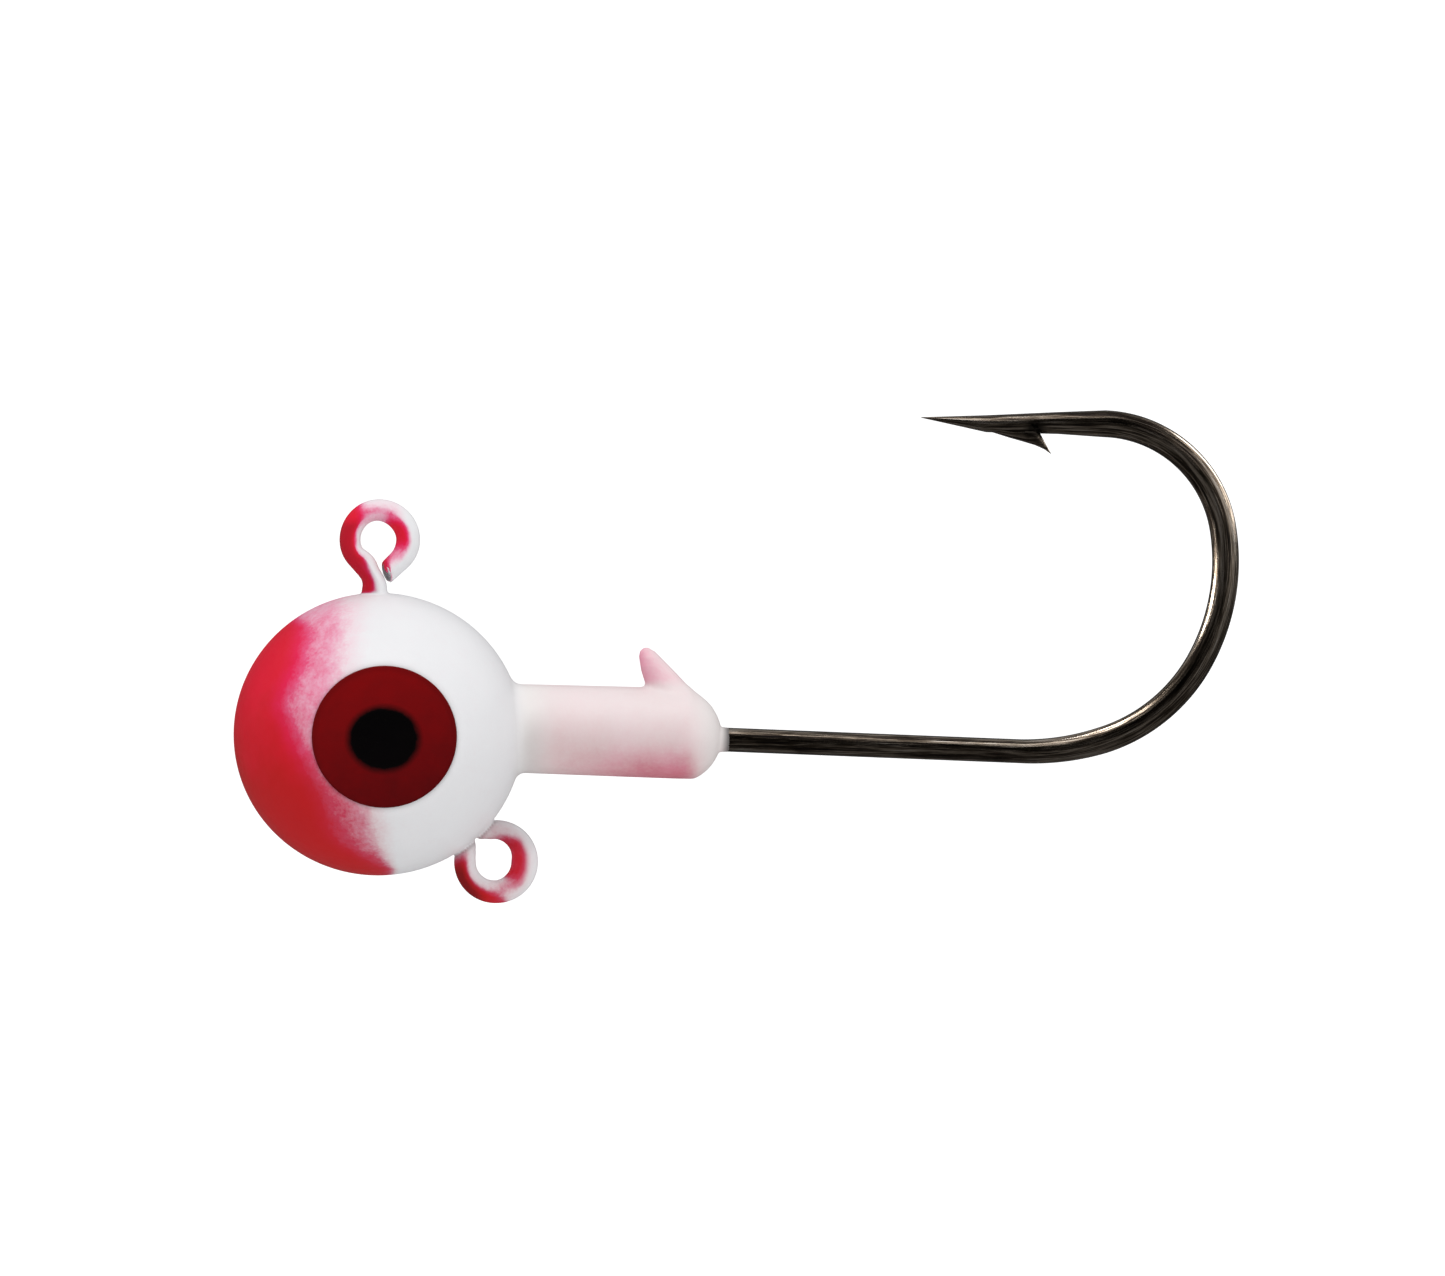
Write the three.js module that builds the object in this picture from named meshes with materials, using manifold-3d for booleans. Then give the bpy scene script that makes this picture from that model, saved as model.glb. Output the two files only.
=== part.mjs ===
// Ball jig head for fishing: a lead ball and collar cast around a bent steel hook, with a second
// wire eye cast into the ball, a thin coat of paint over lead and eyes, and painted fish eyes.
//
// Units are millimetres. +X points from the nose to the bend of the hook, +Z to the side of the
// line tie and of the hook's point, and +Y to the lure's right side. The wire lies in the plane
// Y = 0. Every dimension is given from the middle of the ball. The exported group is then moved
// so that its origin is the middle of the box around the whole jig head.
import * as THREE from 'three';
import { LoftGeometry } from 'three/addons/geometries/LoftGeometry.js';
import { mergeVertices } from 'three/addons/utils/BufferGeometryUtils.js';
import Module from 'manifold-3d';

const wasm = await Module();
wasm.setup();

// ---------------------------------------------------------------------------------- dimensions

const coatThickness = 0.05; // paint on lead and on the two wire eyes
const clearance = 0.015; // gap between the pieces that lie inside or on one another

// Lead ball, a little longer than it is high, with a flat on each side for the fish eye.
const ballHalfLength = 5.16;
const ballRadius = 5.05;
const flatDistance = 4.28;

// Lead collar behind the ball. Its axis passes just above the ball's middle and leans down.
const collarAxisHeight = 0.376;
const collarLean = 1.74; // degrees
const collarStart = 2.0; // hidden inside the ball
const collarFrontRadius = 1.52;
const collarRearRadius = 1.58;
const domeCentre = 10.72; // the rear end is part of a ball round this point
const domeRadius = 1.64;
const domeDrop = 0.1; // its middle lies below the collar's axis

// Keeper barb on the collar, which holds a soft bait. Each level is a flattened ring.
const keeperLevels = [
  { height: 1.0, front: 10.0, rear: 11.85, halfWidth: 0.72 },
  { height: 1.69, front: 9.76, rear: 11.2, halfWidth: 0.62 },
  { height: 2.32, front: 9.58, rear: 10.6, halfWidth: 0.46 },
  { height: 2.8, front: 9.51, rear: 10.13, halfWidth: 0.34 },
  { height: 3.0, front: 9.56, rear: 9.93, halfWidth: 0.2 },
  { height: 3.08, front: 9.66, rear: 9.78, halfWidth: 0.05 },
];
const keeperSlopeAllowance = 1.4; // its rear edge leans 45 degrees, so it grows more along X

// Hook wire. A section is half the wire's width in the hook's plane and half its width across
// it; shift moves the section towards the inside of the bend.
const eyeSection = { inPlane: 0.38, across: 0.43, shift: 0 };
const legSection = { inPlane: 0.42, across: 0.43, shift: 0 };
const shankSection = { inPlane: 0.435, across: 0.435, shift: 0 };
const forgedSection = { inPlane: 0.49, across: 0.39, shift: 0 };
const behindBarbSection = { inPlane: 0.4, across: 0.38, shift: 0.03 };
const pointRootSection = { inPlane: 0.31, across: 0.32, shift: 0.145 };
const pointTipSection = { inPlane: 0.02, across: 0.02, shift: 0 };

// The hook is bent from one length of wire. Its runs and bends follow in order, from the cut end
// beside the line tie's leg. A positive turn is to the left, seen from the lure's left side.
const hookStart = { x: 0.275, z: 5.83, heading: 40.5, section: eyeSection };
const lineTieRuns = [
  { run: 0.615 },
  { radius: 1.05, turn: 266.4 },
  { run: 0.75 },
  { radius: 0.9, turn: -36.9, section: legSection },
  { run: 3.4 },
];
const shankRuns = [
  { radius: 1.6, turn: 87.75, section: shankSection },
  { run: 21.84 },
];
const bendRuns = [
  { radius: 9.01, turn: 19.5, section: forgedSection },
  { radius: 6.11, turn: 44.6 },
  { radius: 7.45, turn: 37.6 },
  { radius: 4.51, turn: 78.7 },
];
const pointRuns = [
  { run: 1.7, section: behindBarbSection },
  { run: 2.6, section: pointRootSection },
  { run: 2.38, section: pointTipSection },
];

// Barb under the point, as upright sections from its root inside the wire to its tip. The chisel
// that raised it left a notch in each side of the wire, with a web of metal between them.
const barbSections = [
  { x: 22.0, z: 11.1, heading: 0, inPlane: 0.1, across: 0.16 },
  { x: 22.8, z: 10.975, heading: 0, inPlane: 0.225, across: 0.24 },
  { x: 23.3, z: 10.905, heading: 0, inPlane: 0.295, across: 0.25 },
  { x: 23.75, z: 10.838, heading: 0, inPlane: 0.362, across: 0.23 },
  { x: 23.93, z: 10.66, heading: 0, inPlane: 0.26, across: 0.18 },
  { x: 24.1, z: 10.46, heading: 0, inPlane: 0.14, across: 0.11 },
  { x: 24.32, z: 10.19, heading: 0, inPlane: 0.02, across: 0.025 },
];
const chiselNotch = [
  { x: 23.54, z: 11.28 },
  { x: 23.72, z: 11.3 },
  { x: 23.98, z: 10.95 },
  { x: 24.05, z: 10.72 },
  { x: 23.86, z: 10.84 },
];
const notchWeb = 0.24;

// Second eye, for a stinger hook, in the lower rear of the ball.
const stingerDirection = -47; // degrees from +X, outwards from the ball's middle
const stingerSection = { inPlane: 0.34, across: 0.34, shift: 0 };
const stingerCentreDistance = 6.28;
const stingerLoopRadius = 1.105;
const stingerNeckRadius = 0.45;
const stingerLegSpacing = 0.84;
const stingerLegLength = 1.6;
const stingerAnchorRadius = 0.6;
const stingerAnchorTurn = 60;
const stingerAnchorRun = 0.7;

// Fish eye on each flat: a disc of enamel with a shallow well, and the pupil's enamel in it.
const irisRadius = 2.6;
const irisThickness = 0.12;
const pupilRadius = 1.2;
const pupilWellDepth = 0.07;

// Facets round each shape, and degrees of bend between two sections of a wire.
const wireSides = 12;
const bendStep = 13;
const ballSides = 32;
const collarSides = 24;
const domeSteps = 5;
const keeperSides = 16;
const eyeSides = 36;

// ------------------------------------------------------------------------------ shared helpers

const radians = THREE.MathUtils.degToRad;

/** A manifold solid from a closed three.js geometry. */
function solidFrom(geometry) {
  const bare = new THREE.BufferGeometry().copy(geometry);
  bare.deleteAttribute('normal');
  bare.deleteAttribute('uv');
  const merged = mergeVertices(bare);
  const vertProperties = new Float32Array(merged.attributes.position.array);
  const triVerts = new Uint32Array(merged.index.array);
  return new wasm.Manifold(new wasm.Mesh({ numProp: 3, vertProperties, triVerts }));
}

/** A three.js geometry from a manifold solid. */
function geometryFrom(solid) {
  const { vertProperties, triVerts } = solid.getMesh();
  const geometry = new THREE.BufferGeometry();
  geometry.setAttribute('position', new THREE.BufferAttribute(vertProperties, 3));
  geometry.setIndex(new THREE.BufferAttribute(triVerts, 1));
  geometry.computeVertexNormals();
  return geometry;
}

/** The point `along` its heading and `aside` to its left, in the plane Y = 0. */
function step(place, along, aside) {
  const angle = radians(place.heading);
  return {
    ...place,
    x: place.x + along * Math.cos(angle) - aside * Math.sin(angle),
    z: place.z + along * Math.sin(angle) + aside * Math.cos(angle),
  };
}

/** The place on a bend of the given radius after turning by `turn` degrees. */
function turned(place, radius, turn) {
  const side = Math.sign(turn) * radius;
  const centre = step(place, 0, side);
  return step({ ...centre, heading: place.heading + turn }, 0, -side);
}

/** A section part of the way between two others. */
function blend(from, to, share) {
  const mix = (name) => THREE.MathUtils.lerp(from[name], to[name], share);
  return { inPlane: mix('inPlane'), across: mix('across'), shift: mix('shift') };
}

/** Follows runs and bends from a start, and gives the wire's section at each place on the way. */
function traceWire(start, runs) {
  const places = [start];
  for (const part of runs) {
    const from = places.at(-1);
    const goal = part.section ?? from.section;
    const steps = part.run ? 1 : Math.ceil(Math.abs(part.turn) / bendStep);
    for (let i = 1; i <= steps; i += 1) {
      const share = i / steps;
      const place = part.run ? step(from, part.run, 0) : turned(from, part.radius, part.turn * share);
      places.push({ ...place, section: blend(from.section, goal, share) });
    }
  }
  return places;
}

/** An elliptical ring square to its heading. */
function ring({ x, z, heading }, inPlane, across) {
  const points = [];
  for (let i = 0; i < wireSides; i += 1) {
    const angle = (2 * Math.PI * i) / wireSides;
    const place = step({ x, z, heading }, 0, inPlane * Math.cos(angle));
    points.push(new THREE.Vector3(place.x, -across * Math.sin(angle), place.z));
  }
  return points;
}

/** A closed solid through rings. */
function loftSolid(rings) {
  return solidFrom(new LoftGeometry(rings, { capStart: true, capEnd: true }));
}

/** A wire through traced places, made thicker by `grow` on every side. */
function wireSolid(places, grow) {
  const rings = places.map((place) => {
    const { inPlane, across, shift } = place.section;
    return ring(step(place, 0, shift), inPlane + grow, across + grow);
  });
  return loftSolid(rings);
}

// ------------------------------------------------------------------------------------ the lead

/** The ball, thicker by `grow`, with its two flats moved out by the same amount. */
function ballSolid(grow) {
  const sphere = new THREE.SphereGeometry(1, ballSides, ballSides / 2);
  sphere.rotateZ(Math.PI / 2);
  sphere.scale(ballHalfLength + grow, ballRadius + grow, ballRadius + grow);
  const acrossFlats = 2 * (flatDistance + grow);
  const slab = new THREE.BoxGeometry(4 * ballRadius, acrossFlats, 4 * ballRadius);
  return solidFrom(sphere).intersect(solidFrom(slab));
}

/** The collar with its domed rear end, thicker by `grow`. */
function collarSolid(grow) {
  const radius = domeRadius + grow;
  const edgeAngle = Math.asin((collarRearRadius + grow) / radius);
  const profile = [
    new THREE.Vector2(0, collarStart),
    new THREE.Vector2(collarFrontRadius + grow, collarStart),
  ];
  for (let i = 0; i < domeSteps; i += 1) {
    const angle = edgeAngle * (1 - i / domeSteps);
    profile.push(new THREE.Vector2(radius * Math.sin(angle), domeCentre + radius * Math.cos(angle)));
  }
  profile.push(new THREE.Vector2(0, domeCentre + radius));
  const collar = new THREE.LatheGeometry(profile, collarSides);
  collar.rotateZ(-Math.PI / 2);
  const domeStart = domeCentre + radius * Math.cos(edgeAngle) + 0.01;
  const position = collar.getAttribute('position');
  for (let i = 0; i < position.count; i += 1) {
    if (position.getX(i) > domeStart) position.setZ(i, position.getZ(i) - domeDrop);
  }
  collar.rotateY(radians(collarLean));
  collar.translate(0, 0, collarAxisHeight);
  return solidFrom(collar);
}

/** The keeper barb, thicker by `grow`. */
function keeperSolid(grow) {
  const rings = keeperLevels.map(({ height, front, rear, halfWidth }) => {
    const middle = (front + rear) / 2;
    const alongX = (rear - front) / 2 + keeperSlopeAllowance * grow;
    const points = [];
    for (let i = 0; i < keeperSides; i += 1) {
      const angle = (2 * Math.PI * i) / keeperSides;
      const x = middle + alongX * Math.cos(angle);
      points.push(new THREE.Vector3(x, (halfWidth + grow) * Math.sin(angle), height + grow));
    }
    return points;
  });
  return loftSolid(rings);
}

/** Ball, collar and keeper in one, thicker by `grow`. */
function headSolid(grow) {
  return ballSolid(grow).add(collarSolid(grow)).add(keeperSolid(grow));
}

// ------------------------------------------------------------------------------------ the wires

/** Places along the line tie and its leg, starting `early` ahead of the cut end. */
function traceLineTie(early) {
  const [firstRun, ...others] = lineTieRuns;
  return traceWire(step(hookStart, -early, 0), [{ run: firstRun.run + early }, ...others]);
}

/** The hook's wire before its barb is cut, thicker by `grow` and starting `early`. */
function hookWire(grow, early = 0) {
  const lineTie = traceLineTie(early);
  const others = traceWire(lineTie.at(-1), [...shankRuns, ...bendRuns, ...pointRuns]);
  return wireSolid([...lineTie, ...others.slice(1)], grow);
}

/** The finished hook: the wire with its barb and the chisel's notches behind the barb. */
function hookSolid() {
  const barb = loftSolid(barbSections.map((place) => ring(place, place.inPlane, place.across)));
  const outline = new THREE.Shape(chiselNotch.map(({ x, z }) => new THREE.Vector2(x, z)));
  const notch = new THREE.ExtrudeGeometry(outline, { depth: 1, bevelEnabled: false });
  notch.rotateX(Math.PI / 2);
  const leftNotch = notch.clone().translate(0, -notchWeb / 2, 0);
  const rightNotch = notch.clone().translate(0, notchWeb / 2 + 1, 0);
  const notches = solidFrom(leftNotch).add(solidFrom(rightNotch));
  return hookWire(0).add(barb).subtract(notches);
}

/** Places along the stinger eye: one leg, the neck, the loop, the neck and the other leg. */
function traceStinger() {
  const neckOffset = stingerLegSpacing / 2 + stingerNeckRadius;
  const reach = stingerLoopRadius + stingerNeckRadius;
  const neckDepth = Math.sqrt(reach ** 2 - neckOffset ** 2);
  const neckTurn = 90 - THREE.MathUtils.radToDeg(Math.asin(neckOffset / reach));
  const legEnd = stingerCentreDistance - neckDepth - stingerLegLength;
  const ballMiddle = { x: 0, z: 0, heading: stingerDirection };
  const legStart = step(ballMiddle, legEnd, stingerLegSpacing / 2);
  const outward = { ...legStart, heading: legStart.heading + 180 };
  const anchored = turned(outward, stingerAnchorRadius, -stingerAnchorTurn);
  const tail = step(anchored, stingerAnchorRun, 0);
  const start = { ...tail, heading: tail.heading + 180, section: stingerSection };
  return traceWire(start, [
    { run: stingerAnchorRun },
    { radius: stingerAnchorRadius, turn: stingerAnchorTurn },
    { run: stingerLegLength },
    { radius: stingerNeckRadius, turn: neckTurn },
    { radius: stingerLoopRadius, turn: -180 - 2 * neckTurn },
    { radius: stingerNeckRadius, turn: neckTurn },
    { run: stingerLegLength },
    { radius: stingerAnchorRadius, turn: stingerAnchorTurn },
    { run: stingerAnchorRun },
  ]);
}

// ------------------------------------------------------------------------------- lead and paint

/** Everything that the paint and the lead must leave room for inside them. */
function wiresWithRoom() {
  return hookWire(clearance, clearance).add(wireSolid(traceStinger(), clearance));
}

function castingSolid() {
  return headSolid(0).subtract(wiresWithRoom());
}

/** The coat: the painted outside, less the lead and the wires that it covers. */
function coatSolid() {
  const paintedLineTie = wireSolid(traceLineTie(0), coatThickness);
  const paintedStinger = wireSolid(traceStinger(), coatThickness);
  const outside = headSolid(coatThickness).add(paintedLineTie).add(paintedStinger);
  return outside.subtract(headSolid(clearance)).subtract(wiresWithRoom());
}

// -------------------------------------------------------------------------------- the fish eyes

/** The iris, standing on Y = 0, with a well for the pupil in its outer face. */
function irisGeometry() {
  const wellFloor = irisThickness - pupilWellDepth;
  const profile = [
    new THREE.Vector2(0, 0),
    new THREE.Vector2(irisRadius, 0),
    new THREE.Vector2(irisRadius, irisThickness),
    new THREE.Vector2(pupilRadius + clearance, irisThickness),
    new THREE.Vector2(pupilRadius + clearance, wellFloor),
    new THREE.Vector2(0, wellFloor),
  ];
  return new THREE.LatheGeometry(profile, eyeSides);
}

/** The pupil, filling the well level with the iris's outer face. */
function pupilGeometry() {
  const height = pupilWellDepth - clearance;
  const disc = new THREE.CylinderGeometry(pupilRadius, pupilRadius, height, eyeSides);
  disc.translate(0, irisThickness - height / 2, 0);
  return disc;
}

/** Iris and pupil of one side, in a group that faces out along its own +Y. */
function fishEye(side) {
  const eye = new THREE.Group();
  eye.add(piece(`${side}_iris`, irisGeometry(), irisEnamel));
  eye.add(piece(`${side}_pupil`, pupilGeometry(), pupilEnamel));
  return eye;
}

// ----------------------------------------------------------------------------------- the object

const blackNickel = { color: 0x3a332c, roughness: 0.3, metalness: 0.9 };
const lead = { color: 0x6f7276, roughness: 0.6, metalness: 0.7 };
const tinnedWire = { color: 0x8b8d90, roughness: 0.35, metalness: 0.9 };
const whitePaint = { color: 0xeceaea, roughness: 0.35, metalness: 0 };
const irisEnamel = { color: 0x7a0c12, roughness: 0.35, metalness: 0 };
const pupilEnamel = { color: 0x050506, roughness: 0.25, metalness: 0 };

/** A named piece with a material of its own. */
function piece(name, geometry, finish) {
  const mesh = new THREE.Mesh(geometry, new THREE.MeshStandardMaterial(finish));
  mesh.name = name;
  return mesh;
}

const assembly = new THREE.Group();
assembly.add(piece('jig_hook', geometryFrom(hookSolid()), blackNickel));
assembly.add(piece('head_casting', geometryFrom(castingSolid()), lead));
assembly.add(piece('stinger_eye', geometryFrom(wireSolid(traceStinger(), 0)), tinnedWire));
assembly.add(piece('powder_coat', geometryFrom(coatSolid()), whitePaint));

const eyeSeat = flatDistance + coatThickness + clearance;
const rightEye = fishEye('right');
rightEye.position.y = eyeSeat;
const leftEye = fishEye('left');
leftEye.position.y = -eyeSeat;
leftEye.rotation.x = Math.PI;
assembly.add(leftEye, rightEye);

// The origin is the middle of the box around everything.
const middle = new THREE.Box3().setFromObject(assembly, true).getCenter(new THREE.Vector3());
assembly.position.copy(middle).negate();
const jigHead = new THREE.Group();
jigHead.add(assembly);

export default jigHead;
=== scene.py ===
"""Looks of a painted ball jig head: the paint, the black nickel hook and the enamel fish eyes.

Shapes are worked out in millimetres from the middle of the lead ball, which the frame gives, and
turned into metres in the row frame when a mesh is made. +X points from the nose to the bend of
the hook, +Y to the lure's right side and +Z to the side of the line tie.
"""

import math

import bpy
import numpy as np
import openvdb
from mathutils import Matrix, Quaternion, Vector


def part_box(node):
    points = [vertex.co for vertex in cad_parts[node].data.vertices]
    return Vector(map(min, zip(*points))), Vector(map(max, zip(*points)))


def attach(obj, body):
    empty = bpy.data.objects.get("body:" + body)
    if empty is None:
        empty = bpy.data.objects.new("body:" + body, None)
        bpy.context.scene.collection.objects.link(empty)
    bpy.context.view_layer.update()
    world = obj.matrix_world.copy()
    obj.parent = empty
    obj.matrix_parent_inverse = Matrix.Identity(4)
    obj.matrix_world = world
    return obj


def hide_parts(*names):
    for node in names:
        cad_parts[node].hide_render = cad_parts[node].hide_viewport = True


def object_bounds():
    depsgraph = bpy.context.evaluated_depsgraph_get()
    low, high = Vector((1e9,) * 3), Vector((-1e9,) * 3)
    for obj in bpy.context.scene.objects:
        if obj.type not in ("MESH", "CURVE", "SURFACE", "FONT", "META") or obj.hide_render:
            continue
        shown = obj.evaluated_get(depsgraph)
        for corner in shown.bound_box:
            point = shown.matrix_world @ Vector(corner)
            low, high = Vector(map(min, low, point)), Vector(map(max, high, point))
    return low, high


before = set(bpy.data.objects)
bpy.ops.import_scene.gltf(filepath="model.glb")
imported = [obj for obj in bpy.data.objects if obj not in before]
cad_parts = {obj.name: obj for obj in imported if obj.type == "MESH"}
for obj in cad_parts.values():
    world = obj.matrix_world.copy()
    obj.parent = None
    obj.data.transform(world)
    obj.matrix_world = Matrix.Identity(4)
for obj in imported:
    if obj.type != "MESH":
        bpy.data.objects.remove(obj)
cad_low, cad_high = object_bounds()

# ------------------------------------------------------------------------------------ measures

MM = 0.001
EYE_LOW, EYE_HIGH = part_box("left_iris")
BALL_MIDDLE = Vector(((EYE_LOW.x + EYE_HIGH.x) / 2, 0, (EYE_LOW.z + EYE_HIGH.z) / 2))
IRIS_RADIUS = (EYE_HIGH.x - EYE_LOW.x) / 2 / MM
IRIS_BACK = -EYE_HIGH.y / MM
IRIS_FRONT = -EYE_LOW.y / MM
PUPIL_LOW, PUPIL_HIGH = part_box("left_pupil")
PUPIL_RADIUS = (PUPIL_HIGH.x - PUPIL_LOW.x) / 2 / MM
PUPIL_BACK = -PUPIL_HIGH.y / MM

# The fish eyes aren't quite round, sit a little high on their flats, and have low pupils.
IRIS_OVAL = np.array([1, 1, 0.978])
PUPIL_OVAL = np.array([0.97, 1, 0.875])
EYE_RISE = 0.08
PUPIL_SHIFT = np.array([-0.025, 0, -0.075])

# The ball with its coat of paint, and the flats that the fish eyes are let into.
COAT = 0.05
BALL_RADII = np.array([5.16 + COAT, 5.05 + COAT, 5.05 + COAT])
THIN_BELOW = 0.025  # how much thinner the paint is under the ball
FLAT = 4.28 + COAT

# The collar's axis passes above the ball's middle and leans down towards the hook's bend.
COLLAR_LEAN = math.radians(1.74)
COLLAR_AXIS_HEIGHT = 0.376
COLLAR_START = 2.0
COLLAR_FRONT_RADIUS = 1.52 + COAT
COLLAR_TAPER = 0.0064
DOME_CENTRE = 10.72
DOME_RADIUS = 1.64 + COAT
DOME_DROP = 0.1

# Keeper barb: height, front edge, rear edge and half width of its levels.
KEEPER_HEIGHT = np.array([1.0, 1.69, 2.32, 2.8, 3.0, 3.08])
KEEPER_FRONT = np.array([10.0, 9.76, 9.56, 9.48, 9.51, 9.58]) - COAT
KEEPER_REAR = np.array([11.85, 11.2, 10.6, 10.13, 9.93, 9.78]) + COAT
KEEPER_HALF_WIDTH = np.array([0.72, 0.62, 0.46, 0.34, 0.2, 0.05]) + COAT

# Wire sections: half width in the hook's plane, half width across it, shift towards the inside.
EYE_SECTION = (0.32, 0.4, 0.0)
LEG_SECTION = (0.42, 0.43, 0.0)
SHANK_SECTION = (0.435, 0.435, 0.0)
FORGED_SECTION = (0.49, 0.39, 0.0)
BEHIND_BARB_SECTION = (0.4, 0.38, 0.03)
POINT_ROOT_SECTION = (0.31, 0.32, 0.145)
POINT_TIP_SECTION = (0.012, 0.012, 0.0)
STINGER_SECTION = (0.34, 0.34, 0.0)

# The hook's runs and bends in order, from the cut end of the line tie to the point.
HOOK_START = (0.275, 5.83, 40.5)
LINE_TIE_RUNS = [
    {"run": 0.615},
    {"radius": 1.05, "turn": 266.4},
    {"run": 0.75},
    {"radius": 0.9, "turn": -36.9, "section": LEG_SECTION},
    {"run": 3.4},
]
SHANK_RUNS = [
    {"radius": 1.6, "turn": 87.75, "section": SHANK_SECTION},
    {"run": 21.84},
]
BEND_RUNS = [
    {"radius": 9.01, "turn": 19.5, "section": FORGED_SECTION},
    {"radius": 6.11, "turn": 44.6},
    {"radius": 7.45, "turn": 37.6},
    {"radius": 4.51, "turn": 78.7},
]
POINT_RUNS = [
    {"run": 1.7, "section": BEHIND_BARB_SECTION},
    {"run": 2.6, "section": POINT_ROOT_SECTION},
    {"run": 2.38, "section": POINT_TIP_SECTION},
]

# The stinger eye: the direction and distance of its loop from the ball's middle, and its bends.
STINGER_DIRECTION = -47.0
STINGER_CENTRE_DISTANCE = 6.28
STINGER_LOOP_RADIUS = 1.105
STINGER_NECK_RADIUS = 0.45
STINGER_LEG_SPACING = 0.84
STINGER_LEG_LENGTH = 1.6

# Barb as upright sections from its root to its tip: x, z, half height and half width.
BARB = np.array([
    (22.0, 11.1, 0.1, 0.16),
    (22.8, 10.975, 0.225, 0.24),
    (23.3, 10.905, 0.295, 0.25),
    (23.75, 10.838, 0.362, 0.23),
    (23.93, 10.66, 0.26, 0.18),
    (24.1, 10.46, 0.14, 0.11),
    (24.33, 10.17, 0.012, 0.015),
])

# Outline of the chisel notch beside the barb, half the web of metal left in it, and the middle of
# the shade painted into it on the left side.
CHISEL_NOTCH = [(23.54, 11.28), (23.72, 11.3), (23.98, 10.95), (24.05, 10.72), (23.86, 10.84)]
NOTCH_WEB = 0.12
NOTCH_SHADE_MIDDLE = (23.72, -0.15, 11.1)

# Where the paint stops: short of the sheared end of the wire, and along the shank.
PAINT_STOP = 0.02
CREEP_START = 12.3
CREEP_END = 12.8
CREEP_COAT = 0.025
CREEP_THINNING = 0.035

# Fillets where painted pieces meet, and rounded edges.
BALL_TO_COLLAR = 0.3
COLLAR_TO_KEEPER = 0.22
TAIL_TO_LEG = 0.08
FLAT_EDGE = 0.1
DOME_EDGE = 0.08
KEEPER_TOP_EDGE = 0.12
PAINT_STOP_EDGE = 0.03

# The sheared end of the wire: how far the slanting cut reaches back along the wire, how much
# smaller the face is than the wire, and how deep its bevel is.
SHEAR_REACH = 0.34
BEVEL_SHARE = 0.9
BEVEL_DEPTH = 0.035

# The mould's parting line round the lead, in the hook's plane.
RIDGE_HEIGHT = 0.016
RIDGE_HALF_WIDTH = 0.1

# Off the ball, the paint between these heights is the collar's. What is lower is the stinger
# eye's, and what is higher is the line tie's, apart from the tip of the keeper barb.
STINGER_TOP = -1.9
LINE_TIE_FOOT = 2.5

WIRE_SIDES = 40
PAINT_VOXEL = 0.075
PATH_SPACING = 0.03
HOOK_SPACING = 0.13
SHANK_SPACING = 0.2


# --------------------------------------------------------------------------------------- paths

def step(place, along, aside):
    """The place (x, z, heading) moved along its heading and to its left."""
    x, z, heading = place
    angle = math.radians(heading)
    return (
        x + along * math.cos(angle) - aside * math.sin(angle),
        z + along * math.sin(angle) + aside * math.cos(angle),
        heading,
    )


def turned(place, radius, turn):
    """The place on a bend of the given radius after turning by some degrees."""
    side = math.copysign(radius, turn)
    x, z, heading = step(place, 0, side)
    return step((x, z, heading + turn), 0, -side)


def trace(start, section, runs, spacing):
    """Follows runs and bends. Gives rows of x, z, heading, half widths and distance travelled."""
    place, travelled = start, 0.0
    rows = [(*place, *section, travelled)]
    for part in runs:
        length = part.get("run") or math.radians(abs(part["turn"])) * part["radius"]
        goal = part.get("section", section)
        steps = max(1, math.ceil(length / spacing))
        for i in range(1, steps + 1):
            share = i / steps
            if "run" in part:
                here = step(place, length * share, 0)
            else:
                here = turned(place, part["radius"], part["turn"] * share)
            mixed = [a + (b - a) * share for a, b in zip(section, goal)]
            rows.append((*here, *mixed, travelled + length * share))
        place, section, travelled = here, goal, travelled + length
    return np.array(rows)


def centres(path):
    """The middle of each section in the hook's plane, with its shift towards the inside."""
    heading, shift = np.radians(path[:, 2]), path[:, 5]
    return path[:, :2] + shift[:, None] * np.stack([-np.sin(heading), np.cos(heading)], 1)


def stinger_path(spacing):
    """One leg of the stinger eye, its neck, its loop, and back down the other leg."""
    neck_offset = STINGER_LEG_SPACING / 2 + STINGER_NECK_RADIUS
    reach = STINGER_LOOP_RADIUS + STINGER_NECK_RADIUS
    neck_depth = math.sqrt(reach ** 2 - neck_offset ** 2)
    neck_turn = 90 - math.degrees(math.asin(neck_offset / reach))
    leg_end = STINGER_CENTRE_DISTANCE - neck_depth - STINGER_LEG_LENGTH
    start = step((0, 0, STINGER_DIRECTION), leg_end, STINGER_LEG_SPACING / 2)
    runs = [
        {"run": STINGER_LEG_LENGTH},
        {"radius": STINGER_NECK_RADIUS, "turn": neck_turn},
        {"radius": STINGER_LOOP_RADIUS, "turn": -180 - 2 * neck_turn},
        {"radius": STINGER_NECK_RADIUS, "turn": neck_turn},
        {"run": STINGER_LEG_LENGTH},
    ]
    return trace(start, STINGER_SECTION, runs, spacing)


# ------------------------------------------------------------------- the paint as a signed field

RING_MIDDLE = np.array([0.06, 7.03])
STINGER_MIDDLE = np.array(step((0, 0, STINGER_DIRECTION), STINGER_CENTRE_DISTANCE, 0)[:2])
START_HEADING = math.radians(HOOK_START[2])
WIRE_INWARDS = np.array([math.cos(START_HEADING), 0, math.sin(START_HEADING)])
CUT_NORMAL = np.array([-0.893, -0.276, -0.357])  # the sheared end faces the leg and the lure's left
EARLY_START = 0.4  # how far before the sheared end the painted line tie's path begins

# The painted line tie is three wires, its tail, its ring and its leg, which overlap a little, so
# that a fillet can join tail and leg alone. The places are distances along its path.
TAIL_END = 1.2
LEG_START = 5.0
OVERLAP = 0.4


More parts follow.
